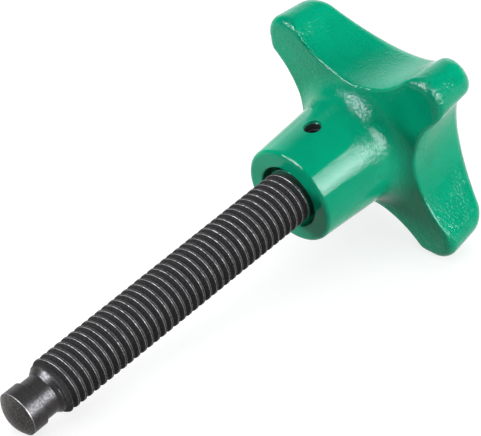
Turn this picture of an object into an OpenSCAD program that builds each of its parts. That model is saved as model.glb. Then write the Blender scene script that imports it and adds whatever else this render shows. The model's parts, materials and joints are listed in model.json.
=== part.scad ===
// Cross handle with thrust screw: a four-lobed iron casting, a threaded spindle and the spring pin that locks them.
// Millimetres. Each piece is drawn on the spindle axis, hub face at z = 0 and thrust tip at negative z,
// and is then laid down on two lobes and the thrust tip, as the handle comes to rest on a bench.

/* [Lobes] */
// Size across two opposite lobes
lobe_span = 51.5; // [44:0.5:60]
// Radius of each lobe's rounded end, in plan
lobe_tip_r = 4.4; // [3.5:0.1:5.5]
// Distance from the axis to the bottom of the scallop between two lobes
waist_r = 12.9; // [12:0.1:15]
// Height of the lobes' underside above the hub face
lobe_under = 18; // [15:0.5:22]
// Height of the casting from hub face to the middle of the top
handle_height = 33.2; // [30:0.1:38]
// Radius of the domed top
dome_r = 58; // [45:1:90]
// Draft of the lobes' walls in degrees, narrower towards the top
wall_draft = 5; // [2:0.5:8]
// Rounding of the top edge
top_round = 2.5; // [1:0.1:3]
// Rounding of the underside edge along the scallops
under_round = 0.9; // [0.6:0.1:1.6]
// Rounding of the underside edge round the lobes' ends
end_round = 1.7; // [0.8:0.1:2]

/* [Hub] */
// Hub diameter at its face
hub_d = 18.2; // [17:0.1:20]
// Draft of the hub in degrees, wider towards the lobes
hub_draft = 3.5; // [1:0.5:5]
// Fillet between hub and lobes
hub_fillet = 4.2; // [2:0.1:5]
// Rounding of the hub face's edge
hub_edge = 0.8; // [0.4:0.1:1.2]
// Diameter of the relief at the mouth of the bore
relief_d = 11.8; // [11:0.1:13]
// Depth of the relief
relief_depth = 2.2; // [1:0.1:3]
// Depth of the blind bore past the end of the screw
bore_spare = 1; // [0.5:0.1:3]

/* [Screw] */
// Length of the screw from thrust tip to the end in the hub
screw_length = 80; // [60:1:120]
// Length of the screw inside the hub
seat_depth = 15.7; // [13:0.1:18]
// Diameter over the thread crests
thread_d = 9.84; // [8.5:0.02:9.9]
// Thread pitch
thread_pitch = 1.5; // [1.25:0.25:1.75]
// Depth of the thread
thread_depth = 0.84; // [0.6:0.02:0.9]
// Width of the thread crest
crest_width = 0.25; // [0.15:0.01:0.35]
// Angle at which the thread starts
thread_turn = 73; // [0:1:359]
// Diameter of the plain shank in the hub
shank_d = 10; // [9.9:0.05:10.6]
// How far the shank stays behind the hub face
shank_set = 1.9; // [1.2:0.1:3]
// Radial clearance between shank and bore
shank_gap = 0.02; // [0.01:0.01:0.1]

/* [Thrust tip] */
// Diameter of the thrust head
tip_d = 8; // [7.4:0.1:8.6]
// Straight length of the thrust head
tip_length = 2.9; // [2:0.1:5]
// Radius of the thrust head's rounded end
tip_crown_r = 6; // [5:0.5:12]
// Diameter of the neck behind the thrust head
neck_d = 7.2; // [6.4:0.1:7.2]
// Length of the neck
neck_length = 2.7; // [1.5:0.1:5]
// Length of the cone from the neck to the thread crests
cone_length = 1.9; // [1.2:0.1:3]

/* [Spring pin] */
// Diameter of the spring pin
pin_d = 3; // [2:0.1:4]
// Length of the spring pin
pin_length = 16; // [13:0.5:17]
// Wall of the spring pin
pin_wall = 0.55; // [0.3:0.05:0.7]
// Width of the slot along the spring pin
pin_slot = 0.7; // [0.3:0.1:1.2]
// Distance of the spring pin from the hub face
pin_height = 8.3; // [5:0.1:11]
// Turn of the spring pin about the spindle axis, from midway between two lobes
pin_turn = -3.5; // [-20:0.5:20]
// Radial clearance between spring pin and its hole
pin_gap = 0.02; // [0.01:0.01:0.1]

/* [Hidden] */

// Plan of the casting: lobe ends and scallops are arcs that meet without a corner
lobe_c = lobe_span / 2 - lobe_tip_r;
half_root = sqrt(0.5);
scallop_r = (lobe_tip_r ^ 2 - lobe_c ^ 2 + 2 * lobe_c * half_root * waist_r - waist_r ^ 2)
  / (2 * (waist_r - lobe_c * half_root - lobe_tip_r));
scallop_c = waist_r + scallop_r;
tip_half = atan2(scallop_c * half_root, scallop_c * half_root - lobe_c);
tip_steps = 16;
scallop_steps = 12;
columns = 4 * (tip_steps + scallop_steps);

// Hub and walls
hub_slope = tan(hub_draft);
wall_slope = tan(wall_draft);
hub_r = hub_d / 2;
hub_top_r = hub_r + hub_slope * (lobe_under - hub_fillet);
bore_r = shank_d / 2 + shank_gap;
bore_depth = seat_depth + bore_spare;

// Screw, measured from the top of its rounded thrust end
exposed = screw_length - seat_depth;
crown_h = tip_crown_r - sqrt(tip_crown_r ^ 2 - (tip_d / 2) ^ 2);
neck_z = crown_h + tip_length;
cone_z = neck_z + neck_length;
shank_z = exposed + shank_set;
crest_r = thread_d / 2;
root_r = crest_r - thread_depth;
flank = thread_depth * tan(30);
cone_r = neck_d / 2 + 0.06;
cone_slope = (crest_r - cone_r) / cone_length;
thread_z = cone_z + 0.13;
thread_steps = 24;
thread_turns = floor((shank_z - 0.15 - 2 * flank - crest_width - thread_z) / thread_pitch);
thread_end = shank_z + 1;

// Rest: the thrust head's rim and the underside edges of two lobes stand on the bench
rim_drop = exposed - crown_h;
rest_a = lobe_c * half_root + lobe_tip_r - end_round - tip_d / 2;
rest_b = lobe_under + end_round + rim_drop;
rest_tilt = atan2(rest_a, rest_b) + asin(end_round / sqrt(rest_a ^ 2 + rest_b ^ 2));
rest_lift = tip_d / 2 * cos(rest_tilt) + rim_drop * sin(rest_tilt);
rest_front = (exposed - tip_crown_r) * cos(rest_tilt) + tip_crown_r;
rest_back = (handle_height - dome_r) * cos(rest_tilt) + dome_r;
rest_shift = (rest_front - rest_back) / 2;

// One point of the plan outline, drawn in by a distance along its own normal
function plan_angle(j) =
  let(q = floor(j / (tip_steps + scallop_steps)), k = j - q * (tip_steps + scallop_steps))
  45 + 90 * q + (k < tip_steps
    ? -tip_half + 2 * tip_half * k / tip_steps
    : tip_half + (90 - 2 * tip_half) * (k - tip_steps) / scallop_steps);
function plan_point(j, inset) =
  let(q = floor(j / (tip_steps + scallop_steps)), k = j - q * (tip_steps + scallop_steps), a = plan_angle(j))
  k < tip_steps
    ? lobe_c * [cos(45 + 90 * q), sin(45 + 90 * q)] + (lobe_tip_r - inset) * [cos(a), sin(a)]
    : scallop_c * [cos(90 + 90 * q), sin(90 + 90 * q)] - (scallop_r + inset) * [cos(a), sin(a)];

// Rounding of the underside edge at one column: full to 50 degrees either side of a lobe's end, then easing off
function edge_round(j) =
  let(
    q = floor(j / (tip_steps + scallop_steps)),
    on_lobe = j - q * (tip_steps + scallop_steps) < tip_steps,
    t = (tip_half - abs(plan_angle(j) - 45 - 90 * q)) / (tip_half - 50),
    u = on_lobe ? min(max(t, 0), 1) : 0
  )
  under_round + (end_round - under_round) * u * u * (3 - 2 * u);

// Turn of one column about the axis: its own on the outline (t = 0), spreading to even steps round the hub (t = 1)
function column_angle(j, t) =
  let(
    part = j / (tip_steps + scallop_steps),
    c = 45 + 90 * floor(part),
    p = plan_point(j, edge_round(j)),
    own = atan2(p.y * cos(c) - p.x * sin(c), p.x * cos(c) + p.y * sin(c)),
    even = 90 * (part - floor(part)) - 45 * tip_steps / (tip_steps + scallop_steps)
  )
  c + own + (even - own) * t * t;

// Heights of the underside, with the fillet into the hub, and of the domed top
function under_z(r) =
  let(x = min(max(hub_top_r + hub_fillet - r, 0), hub_fillet))
  lobe_under - hub_fillet + sqrt(hub_fillet ^ 2 - x ^ 2);
function top_z(r) = handle_height - dome_r + sqrt(dome_r ^ 2 - r ^ 2);
function wall_inset(j) =
  let(r = norm(plan_point(j, 0)))
  wall_slope * (top_z(r) - under_z(r));

// Rings of the casting's skin, from the top down to the hub face
function dome_ring(s) = [
  for (j = [0 : columns - 1])
    let(p = s * plan_point(j, wall_inset(j) + top_round))
    [p.x, p.y, top_z(norm(p))]
];
function top_ring(f) = [
  for (j = [0 : columns - 1])
    let(p = plan_point(j, wall_inset(j) + top_round * (1 - cos(f))))
    [p.x, p.y, top_z(norm(p)) - top_round * (1 - sin(f))]
];
function edge_ring(f) = [
  for (j = [0 : columns - 1])
    let(e = edge_round(j), p = plan_point(j, e * (1 - cos(f))))
    [p.x, p.y, under_z(norm(p)) + e * (1 - sin(f))]
];
function under_ring(t) = [
  for (j = [0 : columns - 1])
    let(n = norm(plan_point(j, edge_round(j))), r = n + (hub_top_r - n) * t, a = column_angle(j, t))
    [r * cos(a), r * sin(a), under_z(r)]
];
function hub_ring(f) = [
  for (j = [0 : columns - 1])
    let(r = hub_r + hub_slope * hub_edge - hub_edge * (1 - cos(f)), a = column_angle(j, 1))
    [r * cos(a), r * sin(a), hub_edge * (1 - sin(f))]
];
function face_ring(r) = [
  for (j = [0 : columns - 1])
    let(a = column_angle(j, 1))
    [r * cos(a), r * sin(a), 0]
];

module casting_skin() {
  rings = concat(
    [for (s = [0.25, 0.5, 0.75]) dome_ring(s)],
    [for (f = [90, 67.5, 45, 22.5, 0]) top_ring(f)],
    [for (f = [0, 22.5, 45, 67.5, 90]) edge_ring(f)],
    [for (t = [0.3, 0.55, 0.7, 0.8, 0.88, 0.95, 1]) under_ring(t)],
    [for (f = [0, 30, 60, 90]) hub_ring(f)],
    [face_ring(bore_r - hub_edge)]
  );
  last = len(rings) - 1;
  points = concat([[0, 0, handle_height]], [for (ring = rings) each ring]);
  crown = [for (j = [0 : columns - 1]) [0, 1 + (j + 1) % columns, 1 + j]];
  skin = [
    for (k = [0 : last - 1])
      for (j = [0 : columns - 1])
        let(a = 1 + k * columns + j, b = 1 + k * columns + (j + 1) % columns)
        each [[a, b, b + columns], [a, b + columns, a + columns]]
  ];
  face = [[for (j = [0 : columns - 1]) 1 + last * columns + j]];
  polyhedron(points = points, faces = concat(crown, skin, face), convexity = 8);
}

// One station of the thread: root, two crest corners and root, held inside the starting cone
function thread_station(i) =
  let(a = thread_turn + 360 * i / thread_steps, z = thread_z + thread_pitch * i / thread_steps)
  [
    for (q = [[root_r, 0], [crest_r, flank], [crest_r, flank + crest_width], [root_r, 2 * flank + crest_width]])
      let(r = min(q[0], cone_r + cone_slope * (z + q[1] - cone_z)))
      [r * cos(a), r * sin(a), z + q[1]]
  ];
function thread_disc(r, z) = [
  for (i = [0 : thread_steps - 1])
    let(a = thread_turn + 360 * i / thread_steps)
    [r * cos(a), r * sin(a), z]
];

module thread_body() {
  m = thread_steps;
  n = m * thread_turns;
  low = 4 * (n + 1);
  high = low + m;
  points = concat(
    [for (i = [0 : n]) each thread_station(i)],
    thread_disc(cone_r, cone_z),
    thread_disc(root_r, thread_end)
  );
  ridge = [
    for (i = [0 : n - 1])
      for (k = [0 : 2])
        let(a = 4 * i + k)
        each [[a, a + 1, a + 5], [a, a + 5, a + 4]]
  ];
  groove = [
    for (i = [0 : n - m - 1])
      let(a = 4 * i + 3, b = 4 * (i + m))
      each [[a, b, b + 4], [a, b + 4, a + 4]]
  ];
  start = [
    for (i = [0 : m - 2])
      let(a = low + i, b = 4 * i)
      each [[a, b, b + 4], [a, b + 4, a + 1]]
  ];
  start_step = [
    [low + m - 1, 4 * (m - 1), 4 * m],
    [low + m - 1, 4 * m, 0],
    [low + m - 1, 0, low],
    [0, 4 * m, 3, 2, 1]
  ];
  finish = [
    for (i = [1 : m - 1])
      let(a = 4 * (n - m + i) + 3, b = high + i)
      each [[a, b, high + (i + 1) % m], [a, high + (i + 1) % m, a + 4]]
  ];
  finish_step = [
    [4 * (n - m) + 3, 4 * n, high + 1],
    [4 * n, 4 * n + 3, high + 1],
    [4 * n + 3, high, high + 1],
    [4 * (n - m) + 3, high + 1, 4 * (n - m) + 7],
    [4 * n, 4 * n + 1, 4 * n + 2, 4 * n + 3]
  ];
  caps = [
    [for (i = [0 : m - 1]) low + i],
    [for (i = [m - 1 : -1 : 0]) high + i]
  ];
  polyhedron(
    points = points,
    faces = concat(ridge, groove, start, start_step, finish, finish_step, caps),
    convexity = 20
  );
}

// Thrust head, neck and rounded end, turned in one piece
module thrust_tip() {
  rotate_extrude($fn = 96)
    intersection() {
      union() {
        square([tip_d / 2, neck_z]);
        square([neck_d / 2, cone_z + 1]);
      }
      union() {
        translate([0, tip_crown_r])
          circle(r = tip_crown_r, $fn = 192);
        translate([0, crown_h])
          square([tip_d, cone_z + 1]);
      }
    }
}

module pin_hole() {
  translate([0, 0, pin_height])
    rotate([0, 90, pin_turn])
      cylinder(h = 2 * hub_d, r = pin_d / 2 + pin_gap, center = true, $fn = 48);
}

// Lays a piece down on two lobes and the thrust head
module at_rest() {
  translate([rest_shift, 0, rest_lift])
    rotate([0, 90 - rest_tilt, 0])
      children();
}

module cross_handle() {
  color("#009a72")
    at_rest()
      difference() {
        casting_skin();
        translate([0, 0, -1])
          cylinder(h = relief_depth + 1, r = relief_d / 2, $fn = 96);
        translate([0, 0, -1])
          cylinder(h = bore_depth + 1, r = bore_r, $fn = 96);
        pin_hole();
      }
}

module threaded_spindle() {
  color("#2b2a2a")
    at_rest()
      difference() {
        translate([0, 0, -exposed])
          union() {
            thrust_tip();
            thread_body();
            translate([0, 0, shank_z])
              cylinder(h = screw_length - shank_z - 0.5, r = shank_d / 2, $fn = 96);
            translate([0, 0, screw_length - 0.5])
              cylinder(h = 0.5, r1 = shank_d / 2, r2 = shank_d / 2 - 0.5, $fn = 96);
          }
        pin_hole();
      }
}

module spring_pin() {
  color("#6d6f72")
    at_rest()
      translate([0, 0, pin_height])
        rotate([0, 90, pin_turn])
          difference() {
            cylinder(h = pin_length, r = pin_d / 2, center = true, $fn = 48);
            cylinder(h = pin_length + 2, r = pin_d / 2 - pin_wall, center = true, $fn = 48);
            translate([0, -pin_slot / 2, -pin_length])
              cube([pin_d, pin_slot, 2 * pin_length]);
          }
}

cross_handle();
threaded_spindle();
spring_pin();
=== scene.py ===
"""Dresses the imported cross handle: painted casting, turned screw, spring pin and a plain studio."""
import json
import math

import bmesh
import bpy
import numpy as np
from bpy.props import FloatProperty, FloatVectorProperty, PointerProperty
from mathutils import Matrix, Vector, noise


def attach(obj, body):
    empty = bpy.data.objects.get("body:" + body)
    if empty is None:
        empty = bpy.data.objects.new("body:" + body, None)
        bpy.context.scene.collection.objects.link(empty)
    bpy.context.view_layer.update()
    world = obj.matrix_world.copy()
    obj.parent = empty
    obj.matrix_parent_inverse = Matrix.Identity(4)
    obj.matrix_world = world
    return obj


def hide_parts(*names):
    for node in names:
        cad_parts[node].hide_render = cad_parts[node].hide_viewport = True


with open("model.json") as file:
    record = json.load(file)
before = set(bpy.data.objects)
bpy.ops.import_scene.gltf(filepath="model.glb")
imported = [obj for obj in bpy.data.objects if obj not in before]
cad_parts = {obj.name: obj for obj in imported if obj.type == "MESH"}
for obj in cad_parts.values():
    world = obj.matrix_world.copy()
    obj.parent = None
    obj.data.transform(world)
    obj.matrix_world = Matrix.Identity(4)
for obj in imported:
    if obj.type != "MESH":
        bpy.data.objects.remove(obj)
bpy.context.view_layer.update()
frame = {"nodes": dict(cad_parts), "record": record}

bl_info = {
    "name": "Cross Handle Dresser",
    "version": (1, 0, 0),
    "blender": (4, 5, 0),
    "location": "View3D > Sidebar > Cross Handle",
    "description": "Builds the casting, the screw, the pin's finish and the studio of a cross handle",
    "category": "Object",
}

MM = 0.001
THREAD_LEAD = 0.075 * MM
SHANK_LEAD = 0.3 * MM
COOL_WHITE = (0.93, 0.99, 1.08)

# Fineness of the meshes, and the angles past which an edge is shaded sharp
LOBE_STEPS = 40
SCALLOP_STEPS = 48
DOME_ROWS = 24
WALL_ROWS = 12
ROUND_ROWS = 14
UNDER_ROWS = 40
HUB_ROWS = 20
HUB_EDGE_ROWS = 10
FACE_ROWS = 6
LIP_ROWS = 5
BORE_ROWS = 6
DRILL_STEPS = 64
SCREW_STEPS = 72
CROWN_ROWS = 14
CREST_STEPS = 5
FLANK_STEPS = 4
CASTING_SHARP = math.radians(38)
SCREW_SHARP = math.radians(32)

# Studio, in metres
FLOOR_HALF = 3.0
SHADE_LAMPS_AT = 0.8
NEAR_LAMP_AT = 0.12
GLOSS_LAMPS_AT = 0.7


def length(label, text, size):
    """A length property, its default given in millimetres."""
    return FloatProperty(name=label, description=text, default=size * MM, unit="LENGTH", precision=5)


def angle(label, text, degrees):
    """An angle property, its default given in degrees."""
    return FloatProperty(name=label, description=text, default=math.radians(degrees), unit="ROTATION")


def colour(label, text, value):
    """A linear colour property."""
    return FloatVectorProperty(name=label, description=text, default=value, size=3, subtype="COLOR")


class HANDLE_PG_casting(bpy.types.PropertyGroup):
    """Sizes and paint of the four-lobed casting."""

    lobe_span: length("Lobe span", "Size across two opposite lobes", 51.5)
    lobe_end_r: length("Lobe end radius", "Radius of each lobe's rounded end in plan", 4.4)
    waist_r: length("Waist radius", "Axis to the bottom of a scallop", 12.9)
    lobe_under: length("Underside height", "Height of the lobes' underside above the hub face", 18)
    height: length("Height", "Hub face to the middle of the domed top", 33.2)
    dome_r: length("Dome radius", "Radius of the domed top", 58)
    wall_draft: angle("Wall draft", "Draft of the lobes' walls", 5)
    top_round: length("Top rounding", "Rounding of the top edge", 2.5)
    under_round: length("Underside rounding", "Rounding of the underside edge along the scallops", 0.5)
    end_round: length("Lobe end rounding", "Rounding of the underside edge round the lobes' ends", 1.7)
    hub_d: length("Hub diameter", "Hub diameter at its face", 18.2)
    hub_draft: angle("Hub draft", "Draft of the hub", 3.5)
    hub_fillet: length("Hub fillet", "Fillet between hub and lobes", 4.2)
    hub_edge: length("Hub edge", "Rounding of the hub face's edge", 0.8)
    relief_d: length("Relief diameter", "Diameter of the relief at the mouth of the bore", 11.8)
    relief_depth: length("Relief depth", "Depth of the relief", 2.2)
    relief_edge: length("Relief edge", "Rounding of the relief's edge under the paint", 0.3)
    bore_d: length("Bore diameter", "Diameter of the bore behind the relief", 10.04)
    bore_depth: length("Bore depth", "Depth of the blind bore from the hub face", 16.7)
    unevenness: length("Unevenness", "Height of the casting's slow waves under the paint", 0.045)
    paint: colour("Paint", "Colour of the gloss paint", (0.001, 0.37, 0.198))
    # Bare iron in the drilled hole, darkened to a near-black green as painted shade on the hole's wall
    iron_and_shade: colour("Bare iron", "Colour of the bare iron in the drilled pin hole", (0.004, 0.018, 0.013))


class HANDLE_PG_screw(bpy.types.PropertyGroup):
    """Sizes and finish of the turned screw."""

    full_length: length("Length", "Thrust tip to the end in the hub", 80)
    seat_depth: length("Seat depth", "Length of the screw inside the hub", 15.7)
    thread_d: length("Thread diameter", "Diameter over the thread crests", 9.84)
    pitch: length("Pitch", "Thread pitch", 1.5)
    thread_depth: length("Thread depth", "Depth of the thread", 0.84)
    crest_width: length("Crest width", "Width of the thread crest", 0.36)
    crest_round: length("Crest rounding", "Rounding of the crest's two edges", 0.06)
    thread_turn: angle("Thread turn", "Angle at which the thread starts", 73)
    shank_d: length("Shank diameter", "Diameter of the plain shank in the hub", 10)
    shank_set: length("Shank set", "How far the shank stays behind the hub face", 1.9)
    tip_d: length("Head diameter", "Diameter of the thrust head", 8)
    tip_length: length("Head length", "Straight length of the thrust head", 2.9)
    tip_crown_r: length("Crown radius", "Radius of the thrust head's rounded end", 6)
    tip_edge: length("Head edge", "Rounding where the crown meets the head", 0.12)
    neck_d: length("Neck diameter", "Diameter of the neck behind the thrust head", 7.2)
    neck_length: length("Neck length", "Length of the neck", 2.7)
    cone_length: length("Cone length", "Length of the cone from the neck to the thread crests", 1.9)
    steel: colour("Steel", "Colour of the blackened thread", (0.0156, 0.0131, 0.0122))
    turned: colour("Turned steel", "Colour of the blackened head and neck", (0.0276, 0.0248, 0.0241))
    # Partly worn steel, partly a painted highlight: this light grey lines the crests' edges and the head's
    # rim where the lamps glint
    worn_and_glint: colour("Worn steel", "Colour of the steel where the black is worn off edges", (0.158, 0.15, 0.142))
    overspray: length("Overspray", "How far paint from the hub reaches along the screw", 0.3)


class HANDLE_PG_pin(bpy.types.PropertyGroup):
    """Sizes and finish of the spring pin and its hole."""

    pin_d: length("Pin diameter", "Diameter of the spring pin", 3)
    pin_gap: length("Pin clearance", "Radial clearance between spring pin and hole", 0.02)
    pin_height: length("Pin height", "Distance of the spring pin from the hub face", 8.3)
    pin_turn: angle("Pin turn", "Turn of the spring pin about the spindle axis", -3.5)
    hole_bevel: length("Hole bevel", "Width of the softened edge of the pin's hole", 0.06)
    steel: colour("Pin steel", "Colour of the dark spring steel", (0.06, 0.06, 0.062))


class HANDLE_PG_stage(bpy.types.PropertyGroup):
    """Camera, floor and lamps."""

    azimuth: angle("Azimuth", "Camera's turn about the vertical, from looking along +Y", -45.9)
    elevation: angle("Elevation", "Camera's height angle", 33.76)
    distance: length("Distance", "Camera to the aim point", 383.4)
    aim: FloatVectorProperty(
        name="Aim", description="Point that the camera looks at", size=3,
        subtype="TRANSLATION", unit="LENGTH", default=(4.11 * MM, 0.88 * MM, 16 * MM),
    )
    lens: FloatProperty(name="Lens", description="Focal length in mm on a 36 mm sensor", default=171.94)
    floor: colour("Floor", "Colour of the pale floor", (0.32, 0.32, 0.32))
    fill: FloatProperty(name="Fill", description="Strength of the even light from all round", default=0.06)


# Frame of the spindle axis, and small mesh tools


def rest_matrix(screw):
    """Places a piece drawn on the spindle axis, hub face at zero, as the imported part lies."""
    mount = next(m for m in frame["record"]["mounts"] if m["name"] == "thrust_tip")
    along = -Vector(mount["axis"]).normalized()
    down = Vector((along.z, 0.0, -along.x))
    side = along.cross(down)
    exposed = screw.full_length - screw.seat_depth
    hub_face = Vector(mount["pos_m"]) + along * (exposed - crown_height(screw) - screw.tip_length / 2)
    turn = Matrix((down, side, along)).transposed().to_4x4()
    return Matrix.Translation(hub_face) @ turn


def crown_height(screw):
    """Height of the thrust head's rounded end."""
    return screw.tip_crown_r - math.sqrt(screw.tip_crown_r ** 2 - (screw.tip_d / 2) ** 2)


def ease(share_done):
    """Smooth step from 0 to 1."""
    u = np.clip(share_done, 0.0, 1.0)
    return u * u * (3 - 2 * u)


def steps(first, last, count):
    """Even steps after the first value, up to the last one."""
    return np.linspace(first, last, count + 1)[1:]


def ring_faces(rows, columns):
    """Quads between rings of equal length, then a fan on the first and on the last ring's end point."""
    faces = []
    for row in range(rows - 1):
        for j in range(columns):
            a = row * columns + j
            b = row * columns + (j + 1) % columns
            faces.append((a, a + columns, b + columns, b))
    first, last = rows * columns, rows * columns + 1
    base = (rows - 1) * columns
    for j in range(columns):
        faces.append((first, j, (j + 1) % columns))
        faces.append((last, base + (j + 1) % columns, base + j))
    return faces


def mesh_object(name, points, faces):
    """A new mesh object in the scene, all faces smooth."""
    mesh = bpy.data.meshes.new(name)
    mesh.from_pydata([tuple(p) for p in points], [], faces)
    mesh.polygons.foreach_set("use_smooth", [True] * len(mesh.polygons))
    mesh.update()
    piece = bpy.data.objects.new(name, mesh)
    bpy.context.scene.collection.objects.link(piece)
    return piece


# Casting


class Outline:
    """The plan of the casting: lobe ends and scallops are arcs that meet without a corner."""

    def __init__(self, s):
        lobe_c = s.lobe_span / 2 - s.lobe_end_r
        half_root = math.sqrt(0.5)
        scallop_r = (
            s.lobe_end_r ** 2 - lobe_c ** 2 + 2 * lobe_c * half_root * s.waist_r - s.waist_r ** 2
        ) / (2 * (s.waist_r - lobe_c * half_root - s.lobe_end_r))
        scallop_c = s.waist_r + scallop_r
        end_half = math.atan2(scallop_c * half_root, scallop_c * half_root - lobe_c)
        lobe_turn = np.linspace(-end_half, end_half, LOBE_STEPS, endpoint=False)
        scallop_turn = np.linspace(end_half, math.pi / 2 - end_half, SCALLOP_STEPS, endpoint=False)
        full_to = math.radians(50)
        rounding = ease((end_half - np.abs(lobe_turn)) / (end_half - full_to))
        centres, arcs, ways, rounds = [], [], [], []
        for quarter in range(4):
            middle = math.radians(45 + 90 * quarter)
            for turn, distance, bearing, arc in (
                (lobe_turn, lobe_c, middle, s.lobe_end_r),
                (scallop_turn, scallop_c, middle + math.pi / 4, -scallop_r),
            ):
                centre = distance * np.array([math.cos(bearing), math.sin(bearing)])
                centres.append(np.tile(centre, (len(turn), 1)))
                arcs.append(np.full(len(turn), arc))
                ways.append(np.column_stack([np.cos(middle + turn), np.sin(middle + turn)]))
            rounds += [rounding, np.zeros(SCALLOP_STEPS)]
        self.centre = np.vstack(centres)
        self.arc = np.concatenate(arcs)
        self.way = np.vstack(ways)
        self.edge_round = s.under_round + (s.end_round - s.under_round) * np.concatenate(rounds)
        self.columns = len(self.arc)

    def at(self, inset):
        """The outline drawn in by a distance along its own normal."""
        return self.centre + (self.arc - inset)[:, None] * self.way


def casting_rings(s):
    """Rings of the casting's skin: dome, walls, underside, hub, relief and bore."""
    plan = Outline(s)
    outer = plan.at(np.zeros(plan.columns))
    outer_r = np.linalg.norm(outer, axis=1)
    hub_slope = math.tan(s.hub_draft)
    wall_slope = math.tan(s.wall_draft)
    fillet_z = s.lobe_under - s.hub_fillet
    fillet_r = s.hub_d / 2 + hub_slope * fillet_z + s.hub_fillet / math.cos(s.hub_draft)
    fillet_end = math.pi / 2 - s.hub_draft

    def top_z(r):
        return s.height - s.dome_r + np.sqrt(s.dome_r ** 2 - r ** 2)

    def under_z(r):
        x = np.clip(fillet_r - r, 0.0, s.hub_fillet)
        return fillet_z + np.sqrt(s.hub_fillet ** 2 - x ** 2)

    wall_height = top_z(outer_r) - under_z(outer_r)
    top_in = wall_slope * (wall_height - s.top_round) + s.top_round / math.cos(s.wall_draft)
    edge = plan.edge_round
    rings = []

    def add(xy, z):
        rings.append(np.column_stack([xy, np.broadcast_to(z, plan.columns)]))

    def add_round(r, z):
        rings.append(np.column_stack([under_way * r, np.full(plan.columns, z)]))

    for part in steps(0, 1, DOME_ROWS):
        xy = part * plan.at(top_in)
        add(xy, top_z(np.linalg.norm(xy, axis=1)))
    for f in steps(math.pi / 2, s.wall_draft, ROUND_ROWS):
        xy = plan.at(top_in - s.top_round * math.cos(f))
        add(xy, top_z(np.linalg.norm(xy, axis=1)) - s.top_round * (1 - math.sin(f)))
    wall_top = rings[-1]
    xy = plan.at(edge - edge * math.cos(s.wall_draft))
    wall_foot_z = under_z(np.linalg.norm(xy, axis=1)) + edge * (1 + math.sin(s.wall_draft))
    wall_foot = np.column_stack([xy, wall_foot_z])
    for part in steps(0, 1, WALL_ROWS):
        rings.append(wall_top + part * (wall_foot - wall_top))
    for f in steps(s.wall_draft, -math.pi / 2, ROUND_ROWS):
        xy = plan.at(edge - edge * math.cos(f))
        add(xy, under_z(np.linalg.norm(xy, axis=1)) + edge * (1 + math.sin(f)))

    under_edge = plan.at(edge)
    start_r = np.linalg.norm(under_edge, axis=1)
    under_way = under_edge / start_r[:, None]
    flat = np.maximum(start_r - fillet_r, 0.0)
    start_turn = np.arcsin(np.clip((fillet_r - start_r) / s.hub_fillet, 0.0, 1.0))
    run = flat + s.hub_fillet * (fillet_end - start_turn)
    for part in steps(0, 1, UNDER_ROWS):
        gone = part * run
        turn = start_turn + np.maximum(gone - flat, 0.0) / s.hub_fillet
        r = np.where(gone < flat, start_r - gone, fillet_r - s.hub_fillet * np.sin(turn))
        z = np.where(gone < flat, s.lobe_under, fillet_z + s.hub_fillet * np.cos(turn))
        rings.append(np.column_stack([under_way * r[:, None], z]))

    hub_top = fillet_z + s.hub_fillet * math.sin(s.hub_draft)
    edge_r = s.hub_d / 2 + hub_slope * s.hub_edge - s.hub_edge / math.cos(s.hub_draft)
    hub_foot = s.hub_edge * (1 - math.sin(s.hub_draft))
    for z in steps(hub_top, hub_foot, HUB_ROWS):
        add_round(s.hub_d / 2 + hub_slope * z, z)
    for f in steps(-s.hub_draft, -math.pi / 2, HUB_EDGE_ROWS):
        add_round(edge_r + s.hub_edge * math.cos(f), s.hub_edge * (1 + math.sin(f)))
    relief_r = s.relief_d / 2
    lip = s.relief_edge
    for r in steps(edge_r, relief_r + lip, FACE_ROWS):
        add_round(r, 0.0)
    for f in steps(-math.pi / 2, -math.pi, LIP_ROWS):
        add_round(relief_r + lip * (1 + math.cos(f)), lip * (1 + math.sin(f)))
    bore_r = s.bore_d / 2
    for z in steps(lip, s.relief_depth, LIP_ROWS):
        add_round(relief_r, z)
    add_round((relief_r + bore_r) / 2, s.relief_depth)
    for z in np.linspace(s.relief_depth, s.bore_depth, BORE_ROWS + 1):
        add_round(bore_r, z)
    return rings, plan.columns


def cast_waves(mesh, height):
    """Pushes the skin out and in by slow waves, as sand casting leaves it under the paint."""
    coarse, fine = 1 / (7 * MM), 1 / (2.2 * MM)
    moved = []
    for vertex in mesh.vertices:
        place = vertex.co
        wave = 0.7 * noise.noise(place * coarse) + 0.3 * noise.noise(place * fine)
        moved.extend(place + vertex.normal * (height * wave))
    mesh.vertices.foreach_set("co", moved)
    mesh.update()


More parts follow.
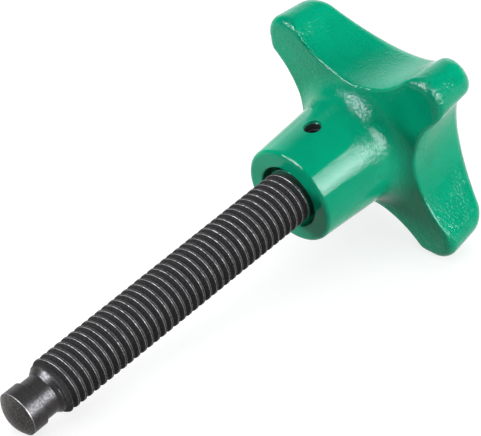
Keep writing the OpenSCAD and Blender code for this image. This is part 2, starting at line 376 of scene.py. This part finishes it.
def drill_pin_hole(piece, pin, hub_r):
    """Cuts the cross hole for the spring pin through the hub, with softened edges."""
    radius = pin.pin_d / 2 + pin.pin_gap
    half = hub_r + pin.hole_bevel
    tool = bmesh.new()
    profile = [(radius + 2 * pin.hole_bevel, half), (radius, half - 2 * pin.hole_bevel)]
    profile += [(r, -z) for r, z in reversed(profile)]
    profile = [(profile[0][0], half + hub_r)] + profile + [(profile[0][0], -half - hub_r)]
    turns = np.linspace(0, 2 * math.pi, DRILL_STEPS, endpoint=False)
    loops = []
    for r, z in profile:
        loops.append([tool.verts.new((r * math.cos(a), r * math.sin(a), z)) for a in turns])
    for low, high in zip(loops, loops[1:]):
        for j in range(DRILL_STEPS):
            after = (j + 1) % DRILL_STEPS
            tool.faces.new((low[j], high[j], high[after], low[after]))
    tool.faces.new(loops[0])
    tool.faces.new(list(reversed(loops[-1])))
    bmesh.ops.recalc_face_normals(tool, faces=tool.faces)
    mesh = bpy.data.meshes.new("pin_drill")
    tool.to_mesh(mesh)
    tool.free()
    drill = bpy.data.objects.new("pin_drill", mesh)
    bpy.context.scene.collection.objects.link(drill)
    drill.matrix_world = (
        Matrix.Translation((0, 0, pin.pin_height))
        @ Matrix.Rotation(pin.pin_turn, 4, "Z")
        @ Matrix.Rotation(math.pi / 2, 4, "Y")
    )
    cut = piece.modifiers.new("pin_hole", "BOOLEAN")
    cut.operation = "DIFFERENCE"
    cut.solver = "MANIFOLD"
    cut.object = drill
    bpy.context.view_layer.update()
    with bpy.context.temp_override(object=piece, active_object=piece, selected_objects=[piece]):
        bpy.ops.object.modifier_apply(modifier=cut.name)
    bpy.data.objects.remove(drill)
    bpy.data.meshes.remove(mesh)


# Screw


def first_crest_after_neck(s):
    """Distance from the neck to the middle of the first crest, at the angle where the thread starts."""
    return THREAD_LEAD + s.thread_depth * math.tan(math.radians(30)) + s.crest_width / 2


def thread_profile(s):
    """One pitch of the thread, root to root: each point's place along the axis and its radius."""
    crest_r = s.thread_d / 2
    half = s.crest_width / 2
    slope = math.radians(30)
    foot = half + s.thread_depth * math.tan(slope)
    tangent = s.crest_round * math.tan(slope)
    side = [
        (half - tangent + s.crest_round * math.sin(f), crest_r - s.crest_round * (1 - math.cos(f)))
        for f in np.linspace(0, math.pi / 2 - slope, CREST_STEPS)
    ]
    edge_place, edge_r = side[-1]
    root_r = crest_r - s.thread_depth
    for part in steps(0, 1, FLANK_STEPS):
        side.append((edge_place + part * (foot - edge_place), edge_r + part * (root_r - edge_r)))
    root = [(-s.pitch / 2, root_r)]
    return root + [(-place, r) for place, r in reversed(side)] + [(0.0, crest_r)] + side


def screw_radius(s, z, thread_r):
    """Radius of the screw's skin at a distance from its tip, where the thread alone has a given radius."""
    crest_r = s.thread_d / 2
    root_r = crest_r - s.thread_depth
    neck_r = s.neck_d / 2
    cone_z = crown_height(s) + s.tip_length + s.neck_length
    shank_z = s.full_length - s.seat_depth + s.shank_set
    if z <= cone_z:
        return neck_r
    cone = neck_r + (crest_r - neck_r) * (z - cone_z) / s.cone_length
    shank = root_r + (s.shank_d / 2 - root_r) * (z - shank_z + SHANK_LEAD) / SHANK_LEAD
    return min(max(min(thread_r, cone), shank), s.shank_d / 2)


def screw_mesh(s):
    """The whole screw as one skin: crown, head and neck as rings, a helical strip and the shank's end."""
    crown_h = crown_height(s)
    head_r, neck_r, shank_r = s.tip_d / 2, s.neck_d / 2, s.shank_d / 2
    neck_z = crown_h + s.tip_length
    cone_z = neck_z + s.neck_length
    shank_z = s.full_length - s.seat_depth + s.shank_set
    exposed = s.full_length - s.seat_depth
    points = []

    def spot(r, turn, z):
        points.append((r * math.cos(turn), r * math.sin(turn), z - exposed))
        return len(points) - 1

    turns = [s.thread_turn + 2 * math.pi * j / SCREW_STEPS for j in range(SCREW_STEPS)]
    rims = []

    def ring(r, z):
        rims.append([spot(r, turn, z) for turn in turns])

    rim_half = math.asin((head_r - s.tip_edge) / s.tip_crown_r)
    for f in steps(0, rim_half, CROWN_ROWS):
        ring(s.tip_crown_r * math.sin(f), s.tip_crown_r * (1 - math.cos(f)))
    rim_z = s.tip_crown_r * (1 - math.cos(rim_half))
    for f in steps(rim_half, math.pi / 2, LIP_ROWS):
        ring(
            head_r - s.tip_edge * (1 - math.sin(f)) / (1 - math.sin(rim_half)),
            rim_z + s.tip_edge * (math.cos(rim_half) - math.cos(f)),
        )
    chamfer = 0.1 * MM
    for z in np.linspace(rim_z + 2 * s.tip_edge, neck_z - chamfer, 6):
        ring(head_r, z)
    ring(head_r - chamfer, neck_z)
    ring(neck_r + chamfer, neck_z)
    ring(neck_r, neck_z + chamfer)
    first_crest = cone_z + first_crest_after_neck(s) - s.pitch
    start_z = first_crest - s.pitch / 2 - 0.05 * MM
    for z in np.linspace(neck_z + 2 * chamfer, start_z, 4):
        ring(neck_r, z)

    profile = thread_profile(s)
    count = math.ceil((shank_z + 1.5 * s.pitch - first_crest) / s.pitch) * SCREW_STEPS
    strip = []
    for i in range(count + 1):
        turn = s.thread_turn + 2 * math.pi * i / SCREW_STEPS
        crest_z = first_crest + s.pitch * i / SCREW_STEPS
        heights = [(crest_z + place, r) for place, r in profile]
        strip.append([spot(screw_radius(s, z, r), turn, z) for z, r in heights])
    crown = spot(0.0, 0.0, 0.0)
    last_z = points[strip[count][-1]][2] + exposed
    end_bevel = 0.5 * MM
    ends = []
    for r, z in (
        (shank_r, max(last_z + s.pitch, s.full_length - end_bevel)),
        (shank_r - end_bevel, s.full_length),
    ):
        ends.append([spot(r, turn, z) for turn in turns])
    tail = spot(0.0, 0.0, s.full_length)

    n = SCREW_STEPS
    faces = [(crown, rims[0][(j + 1) % n], rims[0][j]) for j in range(n)]
    for low, high in list(zip(rims, rims[1:])) + list(zip(ends, ends[1:])):
        for j in range(n):
            faces.append((low[j], low[(j + 1) % n], high[(j + 1) % n], high[j]))
    lines = [strip[i] + [strip[i + n][0]] if i + n <= count else strip[i] for i in range(count + 1)]
    for i in range(count):
        here, there = lines[i], lines[i + 1]
        for k in range(min(len(here), len(there)) - 1):
            faces.append((here[k], there[k], there[k + 1], here[k + 1]))
    low = rims[-1]
    for j in range(n - 1):
        faces.append((low[j], low[j + 1], strip[j + 1][0], strip[j][0]))
    faces.append([low[n - 1], low[0]] + strip[0] + [strip[n][0], strip[n - 1][0]])
    high = ends[0]
    first = count - n + 1
    for j in range(n - 1):
        i = first + j
        top_here = strip[i][-1]
        top_there = strip[i + 1][-1]
        a = i % n
        faces.append((top_here, top_there, high[(a + 1) % n], high[a]))
    seam = [strip[count - n][-1], strip[first][-1], high[first % n], high[count % n]]
    seam += list(reversed(strip[count]))
    faces.append(seam)
    faces += [(tail, ends[-1][j], ends[-1][(j + 1) % n]) for j in range(n)]
    return points, faces


# Materials


def toned(tone, share):
    """A colour at a share of its strength."""
    return tuple(c * share for c in tone)


class Shader:
    """The node tree of a new material or world, with a short way to add and link nodes."""

    def __init__(self, owner):
        self.owner = owner
        owner.use_nodes = True
        self.tree = owner.node_tree
        self.tree.nodes.clear()

    def feed(self, socket, value):
        """Links another node's output to a socket, or sets the socket to a plain value."""
        if isinstance(value, bpy.types.NodeSocket):
            self.tree.links.new(value, socket)
        else:
            socket.default_value = value

    def add(self, kind, sockets=None, **settings):
        """A node with its settings; a socket's value is a plain value or another node's output."""
        node = self.tree.nodes.new(kind)
        for key, value in settings.items():
            setattr(node, key, value)
        for key, value in (sockets or {}).items():
            self.feed(node.inputs[key], value)
        return node

    def noise(self, place, scale, detail=2.0, roughness=0.5):
        """Noise of a scale given in features for each metre."""
        sockets = {"Vector": place, "Scale": scale, "Detail": detail, "Roughness": roughness}
        return self.add("ShaderNodeTexNoise", sockets).outputs["Fac"]

    def ramp(self, value, low, high, to_low=0.0, to_high=1.0):
        """A value's range mapped to another range, held at both ends."""
        sockets = {"Value": value, "From Min": low, "From Max": high, "To Min": to_low, "To Max": to_high}
        return self.add("ShaderNodeMapRange", sockets).outputs["Result"]

    def math(self, operation, first, second=0.0):
        """One sum of one or two values."""
        return self.add("ShaderNodeMath", {0: first, 1: second}, operation=operation).outputs[0]

    def mix(self, factor, first, second):
        """Two colours mixed."""
        node = self.add("ShaderNodeMix", {"Factor": factor}, data_type="RGBA")
        for name, value in (("A_Color", first), ("B_Color", second)):
            socket = next(i for i in node.inputs if i.identifier == name)
            self.feed(socket, value if isinstance(value, bpy.types.NodeSocket) else (*value, 1.0))
        return next(o for o in node.outputs if o.identifier == "Result_Color")

    def surface(self, sockets):
        """The shader that the surface shows."""
        shader = self.add("ShaderNodeBsdfPrincipled", sockets)
        out = self.add("ShaderNodeOutputMaterial")
        self.tree.links.new(shader.outputs["BSDF"], out.inputs["Surface"])
        return self.owner


def green_paint(s, pin):
    """Gloss paint over a sand casting: smooth on the hub, sandy in patches above, bare iron darkened as
    painted shade in the pin hole.
    """
    m = Shader(bpy.data.materials.new("gloss_green_paint"))
    place = m.add("ShaderNodeTexCoord").outputs["Object"]
    along = m.add("ShaderNodeSeparateXYZ", {"Vector": place}).outputs["Z"]
    cloud = m.noise(place, 120, 3)
    tint = m.mix(m.ramp(cloud, 0.35, 0.65), toned(s.paint, 0.88), s.paint)
    side = (-math.sin(pin.pin_turn), math.cos(pin.pin_turn), 0.0)
    across = m.add("ShaderNodeVectorMath", {0: place, 1: side}, operation="DOT_PRODUCT").outputs["Value"]
    above = m.math("SUBTRACT", along, pin.pin_height)
    squares = m.math("ADD", m.math("POWER", across, 2.0), m.math("POWER", above, 2.0))
    from_axis = m.math("SQRT", squares)
    # Painted shade: the pin hole's wall takes a near-black green, partly bare iron and partly the shade
    # inside the hole
    hole_r = pin.pin_d / 2 + pin.pin_gap
    drilled = m.ramp(from_axis, hole_r + 0.04 * MM, hole_r + 0.02 * MM)
    tint = m.mix(drilled, tint, s.iron_and_shade)
    hub_sand = m.ramp(along, 9 * MM, 14 * MM, 0.4, 1.5)
    lobe_sand = m.ramp(along, 18 * MM, 22 * MM, 1.5, 1.25)
    sand = m.math("MINIMUM", hub_sand, lobe_sand)
    patches = m.ramp(m.noise(place, 150, 2), 0.36, 0.66, 0.45, 1.0)
    grain = m.math("MULTIPLY", m.noise(place, 1900, 2, 0.55), m.math("MULTIPLY", sand, patches))
    peel = m.math("MULTIPLY", m.noise(place, 420, 2), 0.2)
    skin = m.math("ADD", grain, peel)
    bump = m.add("ShaderNodeBump", {"Height": skin, "Distance": 0.12 * MM, "Strength": 1.0})
    return m.surface({
        "Base Color": tint,
        "Roughness": m.ramp(drilled, 0.0, 1.0, 0.05, 1.0),
        "IOR": 1.2,
        "Normal": bump.outputs["Normal"],
    })


def black_steel(s, paint):
    """Blackened steel: dull thread with worn edges that also carry a painted highlight, turned head and neck
    with a crown partly painted lighter, paint mist at the hub darkened as painted shade.
    """
    m = Shader(bpy.data.materials.new("blackened_turned_steel"))
    place = m.add("ShaderNodeTexCoord").outputs["Object"]
    split = m.add("ShaderNodeSeparateXYZ", {"Vector": place})
    along = split.outputs["Z"]
    flat = m.add("ShaderNodeCombineXYZ", {"X": split.outputs["X"], "Y": split.outputs["Y"]})
    radius = m.add("ShaderNodeVectorMath", {0: flat.outputs["Vector"]}, operation="LENGTH").outputs["Value"]
    grain = m.noise(place, 3000, 3, 0.6)

    exposed = s.full_length - s.seat_depth
    tip_end = crown_height(s) + s.tip_length + s.neck_length
    first_crest = exposed - tip_end - first_crest_after_neck(s)
    start = first_crest / s.pitch + s.thread_turn / (2 * math.pi) + 0.5
    turn = m.math("ARCTAN2", split.outputs["Y"], split.outputs["X"])
    climb = m.math("SUBTRACT", m.math("DIVIDE", along, s.pitch), m.math("DIVIDE", turn, 2 * math.pi))
    phase = m.math("FRACT", m.math("ADD", climb, start))
    from_middle = m.math("ABSOLUTE", m.math("SUBTRACT", phase, 0.5))
    from_edge = m.math("ABSOLUTE", m.math("SUBTRACT", from_middle, s.crest_width / 2 / s.pitch))
    # Painted highlight: the two edges of each crest take the light worn colour, partly real wear and partly
    # the glint of the lamps on them
    crest = m.ramp(radius, s.thread_d / 2 - 0.14 * MM, s.thread_d / 2 - 0.08 * MM)
    edge = m.math("MULTIPLY", m.ramp(from_edge, 0.055 * MM / s.pitch, 0.03 * MM / s.pitch), crest)
    worn_and_glint = m.math("MULTIPLY", edge, m.ramp(grain, 0.35, 0.6, 0.3, 1.0))

    def speckled(tone, low, high):
        """A colour broken up by the grain, between two shares of itself."""
        return m.mix(m.ramp(grain, 0.35, 0.65), toned(tone, low), toned(tone, high))

    thread = speckled(s.steel, 0.35, 1.7)
    thread = m.mix(worn_and_glint, thread, s.worn_and_glint)
    axial = m.add("ShaderNodeCombineXYZ", {"Z": along})
    lines = m.ramp(m.noise(axial.outputs["Vector"], 6500, 3, 0.7), 0.36, 0.64)
    rim = crown_height(s) - exposed
    lines = m.math("MULTIPLY", lines, m.ramp(along, rim - 0.1 * MM, rim + 0.2 * MM))
    lines = m.math("MULTIPLY", lines, m.ramp(grain, 0.38, 0.58, 0.25, 1.15))
    # The crown is painted about three times lighter than the head and neck: partly a rubbed face, partly
    # painted light on it
    crown = m.ramp(along, rim + 0.1 * MM, rim - 0.1 * MM)
    dull = m.mix(crown, speckled(s.turned, 0.4, 1.5), speckled(s.turned, 1.6, 4.6))
    turned = m.mix(lines, dull, toned(s.turned, 1.6))
    tip = m.ramp(along, tip_end - exposed + 1.3 * MM, tip_end - exposed + 0.9 * MM)
    tint = m.mix(tip, thread, turned)
    # Painted highlight: a thin line of the light worn colour round the rim where the crown meets the head,
    # partly real wear
    from_rim = m.math("ABSOLUTE", m.math("SUBTRACT", along, rim))
    rim_edge = m.ramp(from_rim, 0.12 * MM, 0.05 * MM, 0.0, 0.6)
    tint = m.mix(rim_edge, tint, s.worn_and_glint)
    worn_and_glint = m.math("MAXIMUM", worn_and_glint, rim_edge)
    # Paint mist on the screw next to the hub, its green darkened to a fifth as painted shade inside the
    # relief
    ragged = m.math("ADD", along, m.math("MULTIPLY", grain, 0.3 * MM))
    mist_and_shade = m.ramp(ragged, 0.1 * MM - s.overspray, 0.2 * MM - s.overspray)
    tint = m.mix(m.math("MULTIPLY", mist_and_shade, 0.85), tint, toned(paint, 0.22))
    rough_turned = m.ramp(lines, 0.0, 1.0, 0.42, 0.2)
    rough_thread = m.ramp(worn_and_glint, 0.0, 1.0, 0.9, 0.4)
    tip_rough = m.math("MULTIPLY", rough_turned, tip)
    thread_rough = m.math("MULTIPLY", rough_thread, m.math("SUBTRACT", 1.0, tip))
    bump = m.add("ShaderNodeBump", {"Height": lines, "Distance": 0.003 * MM, "Strength": 0.6})
    bright = m.math("MULTIPLY", tip, m.ramp(lines, 0.0, 1.0, 0.03, 0.5))
    return m.surface({
        "Base Color": tint,
        "Metallic": m.math("MAXIMUM", worn_and_glint, bright),
        "Roughness": m.math("ADD", tip_rough, thread_rough),
        "IOR": 1.2,
        "Normal": bump.outputs["Normal"],
    })


def pin_steel(s):
    """Dark spring steel with a fine drawn grain."""
    m = Shader(bpy.data.materials.new("dark_spring_steel"))
    place = m.add("ShaderNodeTexCoord").outputs["Object"]
    grain = m.noise(place, 2200, 3)
    tint = m.mix(m.ramp(grain, 0.3, 0.7), toned(s.steel, 0.6), s.steel)
    bump = m.add("ShaderNodeBump", {"Height": grain, "Distance": 0.006 * MM, "Strength": 0.5})
    return m.surface({
        "Base Color": tint,
        "Metallic": 0.9,
        "Roughness": m.ramp(grain, 0.3, 0.7, 0.3, 0.5),
        "Normal": bump.outputs["Normal"],
    })


def floor_white(s):
    """Pale floor: plain white to the camera and to reflections, still darkened by the object's shadow."""
    m = Shader(bpy.data.materials.new("pale_floor"))
    path = m.add("ShaderNodeLightPath").outputs
    mirrored = m.math("MAXIMUM", path["Is Glossy Ray"], path["Is Transmission Ray"])
    seen = m.math("MAXIMUM", path["Is Camera Ray"], mirrored)
    grain = m.ramp(m.noise(m.add("ShaderNodeTexCoord").outputs["Object"], 60, 2), 0.3, 0.7, 0.97, 1.0)
    tint = m.mix(grain, (0.0, 0.0, 0.0), s.floor)
    matt = m.add("ShaderNodeBsdfDiffuse", {"Color": tint})
    glow = m.add("ShaderNodeEmission", {"Strength": m.math("MULTIPLY", seen, 0.76)})
    both = m.add("ShaderNodeAddShader")
    m.tree.links.new(matt.outputs[0], both.inputs[0])
    m.tree.links.new(glow.outputs[0], both.inputs[1])
    out = m.add("ShaderNodeOutputMaterial")
    m.tree.links.new(both.outputs[0], out.inputs["Surface"])
    return m.owner


def bearing(turn, rise):
    """Unit vector by its turn in degrees from +Y towards +X and its rise in degrees."""
    turn, rise = math.radians(turn), math.radians(rise)
    return Vector((math.sin(turn) * math.cos(rise), math.cos(turn) * math.cos(rise), math.sin(rise)))


def studio_world(s):
    """Dim even light from all round, with one soft bright window low behind the handle."""
    m = Shader(bpy.data.worlds.new("studio"))
    place = m.add("ShaderNodeTexCoord").outputs["Generated"]
    window = {0: place, 1: bearing(38, 13)}
    facing = m.add("ShaderNodeVectorMath", window, operation="DOT_PRODUCT").outputs["Value"]
    strength = m.ramp(facing, 0.78, 0.96, s.fill, 2.1)
    back = m.add("ShaderNodeBackground", {"Color": (*COOL_WHITE, 1.0), "Strength": strength})
    out = m.add("ShaderNodeOutputWorld")
    m.tree.links.new(back.outputs[0], out.inputs["Surface"])
    return m.owner


# Lamps and camera


def add_lamp(name, aim, way, distance, spread, radiance, in_gloss):
    """A soft lamp that faces the aim point, its spread in degrees as seen from there."""
    data = bpy.data.lights.new(name, "AREA")
    data.shape = "RECTANGLE"
    data.size, data.size_y = [2 * distance * math.tan(math.radians(degrees) / 2) for degrees in spread]
    data.energy = radiance * data.size * data.size_y * math.pi
    lamp = bpy.data.objects.new(name, data)
    bpy.context.scene.collection.objects.link(lamp)
    lamp.location = aim + way * distance
    lamp.rotation_euler = (-way).to_track_quat("-Z", "Y").to_euler()
    if in_gloss:
        data.color = COOL_WHITE
    lamp.visible_camera = False
    lamp.visible_diffuse = not in_gloss
    lamp.visible_glossy = in_gloss


def add_lamps(aim):
    """Lamps that shade the handle, then the softboxes that show in its gloss."""
    add_lamp("right_light", aim, bearing(166, 13), SHADE_LAMPS_AT, (60, 24), 6.3, False)
    add_lamp("left_light", aim, bearing(-36, 5), NEAR_LAMP_AT, (40, 18), 12.5, False)
    add_lamp("back_light", aim, bearing(95, 50), SHADE_LAMPS_AT, (60, 40), 1.1, False)
    add_lamp("top_light", aim, bearing(0, 80), SHADE_LAMPS_AT, (60, 60), 1.7, False)
    for rise, radiance in ((44, 24.0), (33, 36.0), (22, 46.0), (11, 26.0)):
        wide = 2 * math.degrees(math.atan(0.54 * math.cos(math.radians(rise))))
        way = bearing(178, rise)
        add_lamp(f"right_softbox_{rise}", aim, way, GLOSS_LAMPS_AT, (wide, 11), radiance, True)
    add_lamp("left_softbox", aim, bearing(-66, 33), GLOSS_LAMPS_AT, (32, 16), 75.0, True)
    add_lamp("upper_softbox", aim, bearing(-86, 62), GLOSS_LAMPS_AT, (30, 24), 48.0, True)


def photo_camera(s, aim):
    """The camera that looks at the handle as the photograph does."""
    away = Vector((
        math.sin(s.azimuth) * math.cos(s.elevation),
        -math.cos(s.azimuth) * math.cos(s.elevation),
        math.sin(s.elevation),
    ))
    data = bpy.data.cameras.new("photo_camera")
    data.lens = s.lens
    data.sensor_width = 36.0
    data.sensor_fit = "HORIZONTAL"
    data.clip_start = 0.01
    camera = bpy.data.objects.new("photo_camera", data)
    bpy.context.scene.collection.objects.link(camera)
    camera.location = aim + away * s.distance
    camera.rotation_euler = (-away).to_track_quat("-Z", "Y").to_euler()
    return camera


# Operators


class HANDLE_OT_casting(bpy.types.Operator):
    """Builds the painted four-lobed casting over its solid"""

    bl_idname = "handle.casting"
    bl_label = "Build Casting"

    def execute(self, context):
        scene = context.scene
        s, pin = scene.handle_casting, scene.handle_pin
        rings, columns = casting_rings(s)
        points = np.vstack(rings + [[(0.0, 0.0, s.height)], [(0.0, 0.0, s.bore_depth)]])
        piece = mesh_object("painted_casting", points, ring_faces(len(rings), columns))
        cast_waves(piece.data, s.unevenness)
        drill_pin_hole(piece, pin, s.hub_d / 2)
        piece.data.set_sharp_from_angle(angle=CASTING_SHARP)
        piece.data.materials.clear()
        piece.data.materials.append(green_paint(s, pin))
        piece.matrix_world = rest_matrix(scene.handle_screw)
        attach(piece, "root")
        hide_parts("cross_handle")
        return {"FINISHED"}


class HANDLE_OT_screw(bpy.types.Operator):
    """Builds the turned screw over its solid"""

    bl_idname = "handle.screw"
    bl_label = "Build Screw"

    def execute(self, context):
        scene = context.scene
        s = scene.handle_screw
        points, faces = screw_mesh(s)
        piece = mesh_object("turned_screw", points, faces)
        piece.data.set_sharp_from_angle(angle=SCREW_SHARP)
        piece.data.materials.append(black_steel(s, scene.handle_casting.paint))
        piece.matrix_world = rest_matrix(s)
        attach(piece, "root")
        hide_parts("threaded_spindle")
        return {"FINISHED"}


class HANDLE_OT_pin(bpy.types.Operator):
    """Gives the spring pin its dark steel"""

    bl_idname = "handle.pin"
    bl_label = "Finish Pin"

    def execute(self, context):
        node = frame["nodes"]["spring_pin"]
        node.data.materials.clear()
        node.data.materials.append(pin_steel(context.scene.handle_pin))
        return {"FINISHED"}


class HANDLE_OT_stage(bpy.types.Operator):
    """Sets the floor, the lamps, the world and the camera"""

    bl_idname = "handle.stage"
    bl_label = "Set Stage"

    def execute(self, context):
        scene = context.scene
        s = scene.handle_stage
        corners = [(-1, -1), (1, -1), (1, 1), (-1, 1)]
        points = [(x * FLOOR_HALF, y * FLOOR_HALF, 0.0) for x, y in corners]
        floor = mesh_object("floor", points, [(0, 1, 2, 3)])
        floor.data.materials.append(floor_white(s))
        aim = Vector(s.aim)
        scene.world = studio_world(s)
        add_lamps(aim)
        scene.camera = photo_camera(s, aim)
        scene.view_settings.view_transform = "Standard"
        return {"FINISHED"}


class HANDLE_PT_panel(bpy.types.Panel):
    """Lists the steps that build the dressed handle"""

    bl_idname = "HANDLE_PT_panel"
    bl_label = "Cross Handle"
    bl_space_type = "VIEW_3D"
    bl_region_type = "UI"
    bl_category = "Cross Handle"

    def draw(self, context):
        for operator in OPERATORS:
            self.layout.operator(operator.bl_idname)


GROUPS = {
    "handle_casting": HANDLE_PG_casting,
    "handle_screw": HANDLE_PG_screw,
    "handle_pin": HANDLE_PG_pin,
    "handle_stage": HANDLE_PG_stage,
}
OPERATORS = (HANDLE_OT_casting, HANDLE_OT_screw, HANDLE_OT_pin, HANDLE_OT_stage)
CLASSES = (*GROUPS.values(), *OPERATORS, HANDLE_PT_panel)


def register():
    """Registers the classes and hangs the settings on the scene."""
    for cls in CLASSES:
        bpy.utils.register_class(cls)
    for name, group in GROUPS.items():
        setattr(bpy.types.Scene, name, PointerProperty(type=group))


def unregister():
    """Takes the settings and the classes away again."""
    for name in GROUPS:
        delattr(bpy.types.Scene, name)
    for cls in reversed(CLASSES):
        bpy.utils.unregister_class(cls)


def main():
    register()
    bpy.ops.handle.casting()
    bpy.ops.handle.screw()
    bpy.ops.handle.pin()
    bpy.ops.handle.stage()


if __name__ == "__main__":
    main()
